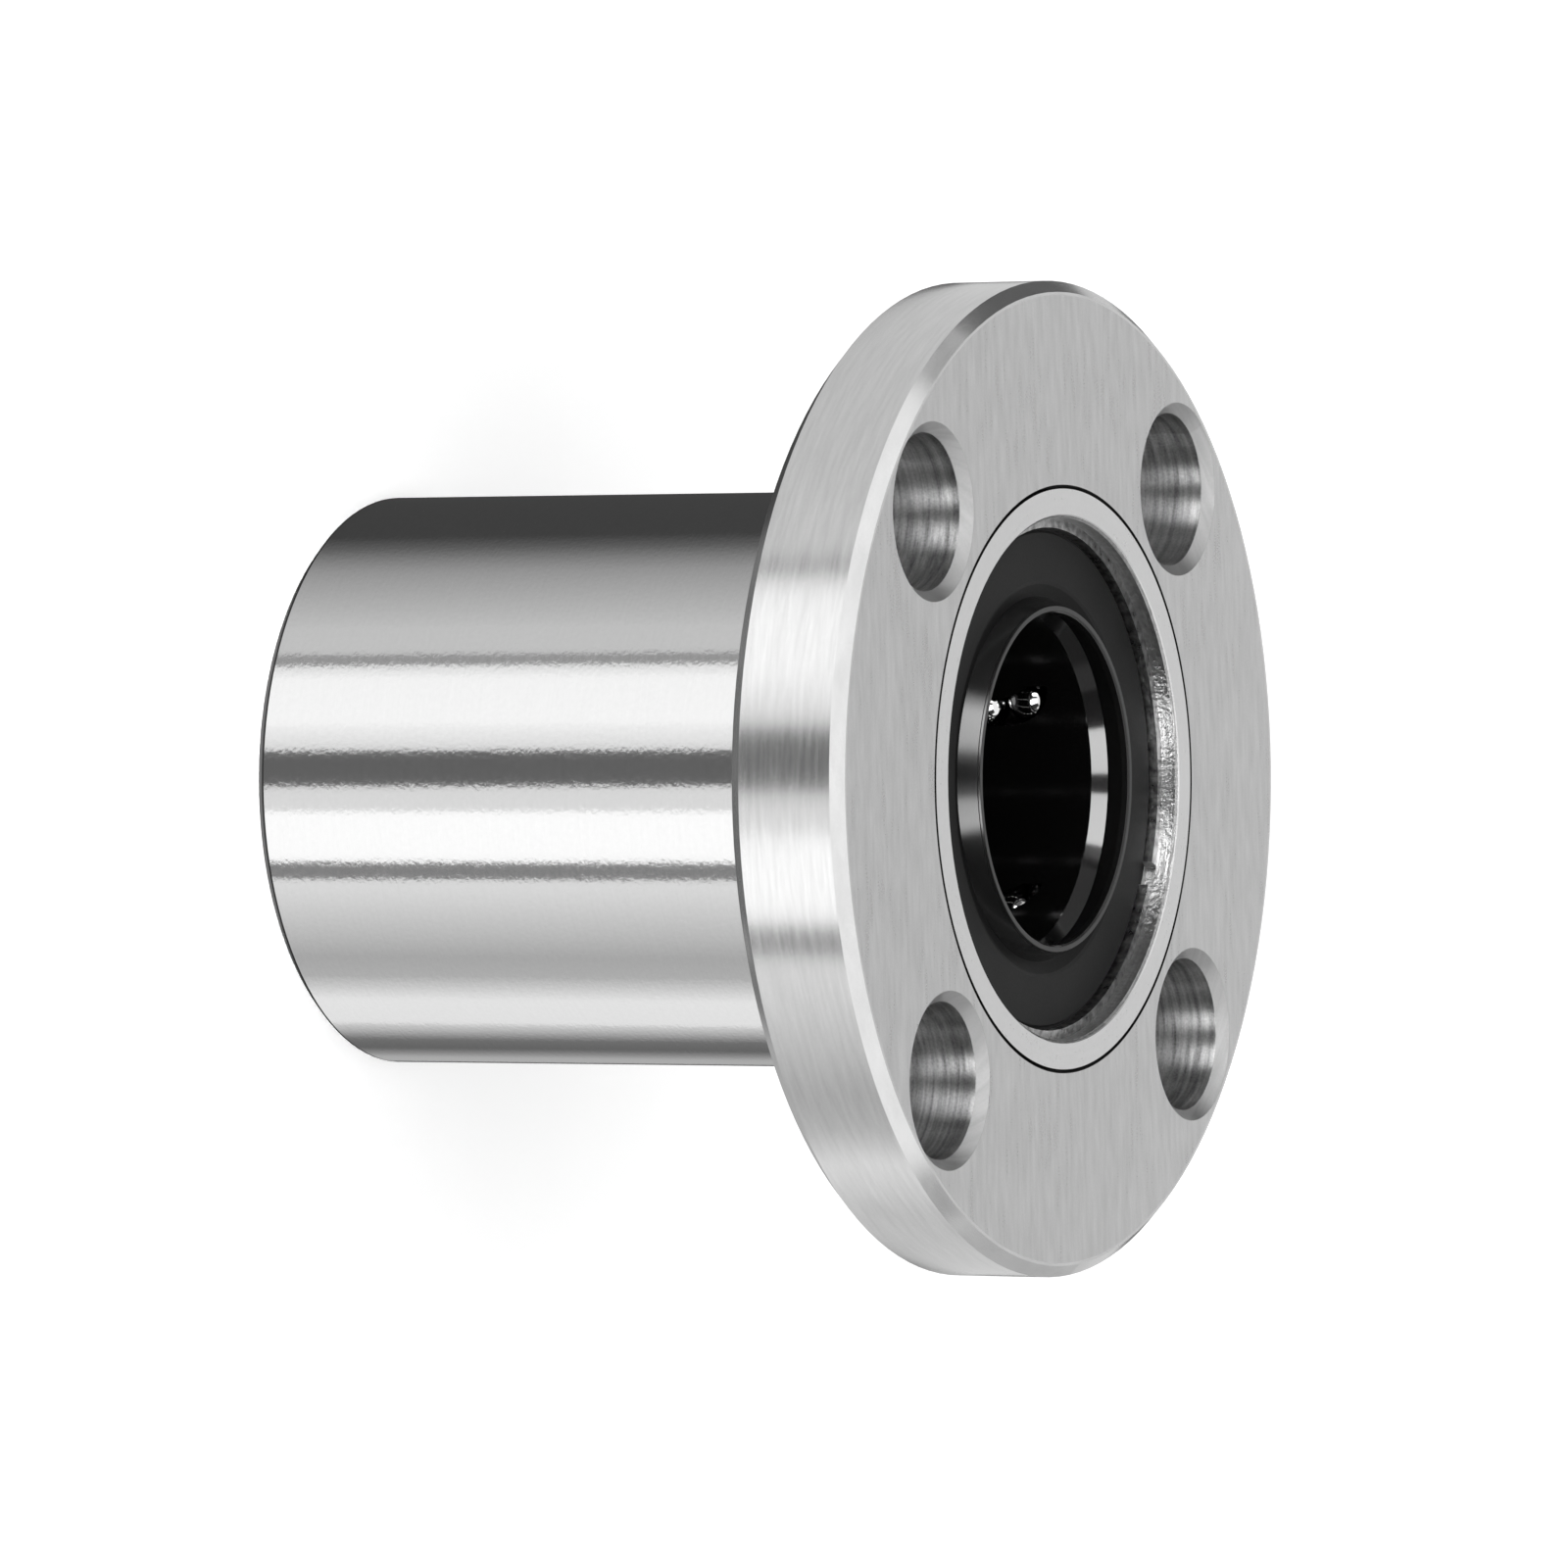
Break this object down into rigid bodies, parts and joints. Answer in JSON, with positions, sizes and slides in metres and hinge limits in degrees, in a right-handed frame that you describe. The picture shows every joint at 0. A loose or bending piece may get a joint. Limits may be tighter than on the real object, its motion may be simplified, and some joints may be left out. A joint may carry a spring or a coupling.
{
  "type": "flanged linear bearing",
  "caption": "Round-flanged linear ball bearing with counterbored bolt holes, lip seals and recirculating ball circuits.",
  "frame": {"origin": "on the bore's axis, in the plane of the flange's back face, which seats on the machine", "axes": "+Z along the bore, out of the flange's front face; +X midway between two bolt holes"},
  "size_m": [0.048, 0.048, 0.037],
  "materials": {
    "sleeve_steel": "hardened and ground, fine circumferential grinding marks, glossy",
    "flange_steel": "turned and plated, satin, fine turning marks",
    "ball_steel": "polished bearing steel",
    "retainer_resin": "black moulded resin, glossy",
    "seal_rubber": "matt black synthetic rubber",
    "ring_steel": "stamped spring steel"
  },
  "bodies": {
    "housing": {"outer_sleeve": "sleeve_steel", "flange": "flange_steel", "ball_retainer": "retainer_resin", "front_seal": "seal_rubber", "rear_seal": "seal_rubber", "front_snap_ring": "ring_steel", "rear_snap_ring": "ring_steel"},
    "loaded_balls_1": {"loaded_balls_1": "ball_steel"},
    "return_balls_1": {"return_balls_1": "ball_steel"},
    "front_turn_balls_1": {"front_turn_balls_1": "ball_steel"},
    "rear_turn_balls_1": {"rear_turn_balls_1": "ball_steel"},
    "loaded_balls_2": {"loaded_balls_2": "ball_steel"},
    "return_balls_2": {"return_balls_2": "ball_steel"},
    "front_turn_balls_2": {"front_turn_balls_2": "ball_steel"},
    "rear_turn_balls_2": {"rear_turn_balls_2": "ball_steel"},
    "loaded_balls_3": {"loaded_balls_3": "ball_steel"},
    "return_balls_3": {"return_balls_3": "ball_steel"},
    "front_turn_balls_3": {"front_turn_balls_3": "ball_steel"},
    "rear_turn_balls_3": {"rear_turn_balls_3": "ball_steel"},
    "loaded_balls_4": {"loaded_balls_4": "ball_steel"},
    "return_balls_4": {"return_balls_4": "ball_steel"},
    "front_turn_balls_4": {"front_turn_balls_4": "ball_steel"},
    "rear_turn_balls_4": {"rear_turn_balls_4": "ball_steel"},
    "loaded_balls_5": {"loaded_balls_5": "ball_steel"},
    "return_balls_5": {"return_balls_5": "ball_steel"},
    "front_turn_balls_5": {"front_turn_balls_5": "ball_steel"},
    "rear_turn_balls_5": {"rear_turn_balls_5": "ball_steel"}
  },
  "joints": [
    {"name": "loaded_row_slide_1", "type": "slide", "parent": "housing", "child": "loaded_balls_1", "axis": [0, 0, 1], "range_m": [-0.00127, 0.00127]},
    {"name": "return_row_slide_1", "type": "slide", "parent": "housing", "child": "return_balls_1", "axis": [0, 0, -1], "range_m": [-0.00127, 0.00127]},
    {"name": "front_turn_1", "type": "hinge", "parent": "housing", "child": "front_turn_balls_1", "pos_m": [-0.00549, 0.00804, -0.0011], "axis": [0.2478, -0.9688, 0], "range_deg": [-30.01, 30.01]},
    {"name": "rear_turn_1", "type": "hinge", "parent": "housing", "child": "rear_turn_balls_1", "pos_m": [-0.00549, 0.00804, -0.0239], "axis": [0.2478, -0.9688, 0], "range_deg": [-30.01, 30.01]},
    {"name": "loaded_row_slide_2", "type": "slide", "parent": "housing", "child": "loaded_balls_2", "axis": [0, 0, 1], "range_m": [-0.00127, 0.00127]},
    {"name": "return_row_slide_2", "type": "slide", "parent": "housing", "child": "return_balls_2", "axis": [0, 0, -1], "range_m": [-0.00127, 0.00127]},
    {"name": "front_turn_2", "type": "hinge", "parent": "housing", "child": "front_turn_balls_2", "pos_m": [-0.00934, -0.00274, -0.0011], "axis": [0.998, -0.0637, 0], "range_deg": [-30.01, 30.01]},
    {"name": "rear_turn_2", "type": "hinge", "parent": "housing", "child": "rear_turn_balls_2", "pos_m": [-0.00934, -0.00274, -0.0239], "axis": [0.998, -0.0637, 0], "range_deg": [-30.01, 30.01]},
    {"name": "loaded_row_slide_3", "type": "slide", "parent": "housing", "child": "loaded_balls_3", "axis": [0, 0, 1], "range_m": [-0.00127, 0.00127]},
    {"name": "return_row_slide_3", "type": "slide", "parent": "housing", "child": "return_balls_3", "axis": [0, 0, -1], "range_m": [-0.00127, 0.00127]},
    {"name": "front_turn_3", "type": "hinge", "parent": "housing", "child": "front_turn_balls_3", "pos_m": [-0.00028, -0.00973, -0.0011], "axis": [0.3689, 0.9295, 0], "range_deg": [-30.01, 30.01]},
    {"name": "rear_turn_3", "type": "hinge", "parent": "housing", "child": "rear_turn_balls_3", "pos_m": [-0.00028, -0.00973, -0.0239], "axis": [0.3689, 0.9295, 0], "range_deg": [-30.01, 30.01]},
    {"name": "loaded_row_slide_4", "type": "slide", "parent": "housing", "child": "loaded_balls_4", "axis": [0, 0, 1], "range_m": [-0.00127, 0.00127]},
    {"name": "return_row_slide_4", "type": "slide", "parent": "housing", "child": "return_balls_4", "axis": [0, 0, -1], "range_m": [-0.00127, 0.00127]},
    {"name": "front_turn_4", "type": "hinge", "parent": "housing", "child": "front_turn_balls_4", "pos_m": [0.00916, -0.00328, -0.0011], "axis": [-0.77, 0.6381, 0], "range_deg": [-30.01, 30.01]},
    {"name": "rear_turn_4", "type": "hinge", "parent": "housing", "child": "rear_turn_balls_4", "pos_m": [0.00916, -0.00328, -0.0239], "axis": [-0.77, 0.6381, 0], "range_deg": [-30.01, 30.01]},
    {"name": "loaded_row_slide_5", "type": "slide", "parent": "housing", "child": "loaded_balls_5", "axis": [0, 0, 1], "range_m": [-0.00127, 0.00127]},
    {"name": "return_row_slide_5", "type": "slide", "parent": "housing", "child": "return_balls_5", "axis": [0, 0, -1], "range_m": [-0.00127, 0.00127]},
    {"name": "front_turn_5", "type": "hinge", "parent": "housing", "child": "front_turn_balls_5", "pos_m": [0.00595, 0.0077, -0.0011], "axis": [-0.8448, -0.5351, 0], "range_deg": [-30.01, 30.01]},
    {"name": "rear_turn_5", "type": "hinge", "parent": "housing", "child": "rear_turn_balls_5", "pos_m": [0.00595, 0.0077, -0.0239], "axis": [-0.8448, -0.5351, 0], "range_deg": [-30.01, 30.01]}
  ],
  "couplings": [
    {"joint": "return_row_slide_1", "follows": "loaded_row_slide_1", "ratio": 1},
    {"joint": "front_turn_1", "follows": "loaded_row_slide_1", "rad_per_m": 413.22},
    {"joint": "rear_turn_1", "follows": "loaded_row_slide_1", "rad_per_m": 413.22},
    {"joint": "return_row_slide_2", "follows": "loaded_row_slide_2", "ratio": 1},
    {"joint": "front_turn_2", "follows": "loaded_row_slide_2", "rad_per_m": 413.22},
    {"joint": "rear_turn_2", "follows": "loaded_row_slide_2", "rad_per_m": 413.22},
    {"joint": "return_row_slide_3", "follows": "loaded_row_slide_3", "ratio": 1},
    {"joint": "front_turn_3", "follows": "loaded_row_slide_3", "rad_per_m": 413.22},
    {"joint": "rear_turn_3", "follows": "loaded_row_slide_3", "rad_per_m": 413.22},
    {"joint": "return_row_slide_4", "follows": "loaded_row_slide_4", "ratio": 1},
    {"joint": "front_turn_4", "follows": "loaded_row_slide_4", "rad_per_m": 413.22},
    {"joint": "rear_turn_4", "follows": "loaded_row_slide_4", "rad_per_m": 413.22},
    {"joint": "return_row_slide_5", "follows": "loaded_row_slide_5", "ratio": 1},
    {"joint": "front_turn_5", "follows": "loaded_row_slide_5", "rad_per_m": 413.22},
    {"joint": "rear_turn_5", "follows": "loaded_row_slide_5", "rad_per_m": 413.22}
  ]
}
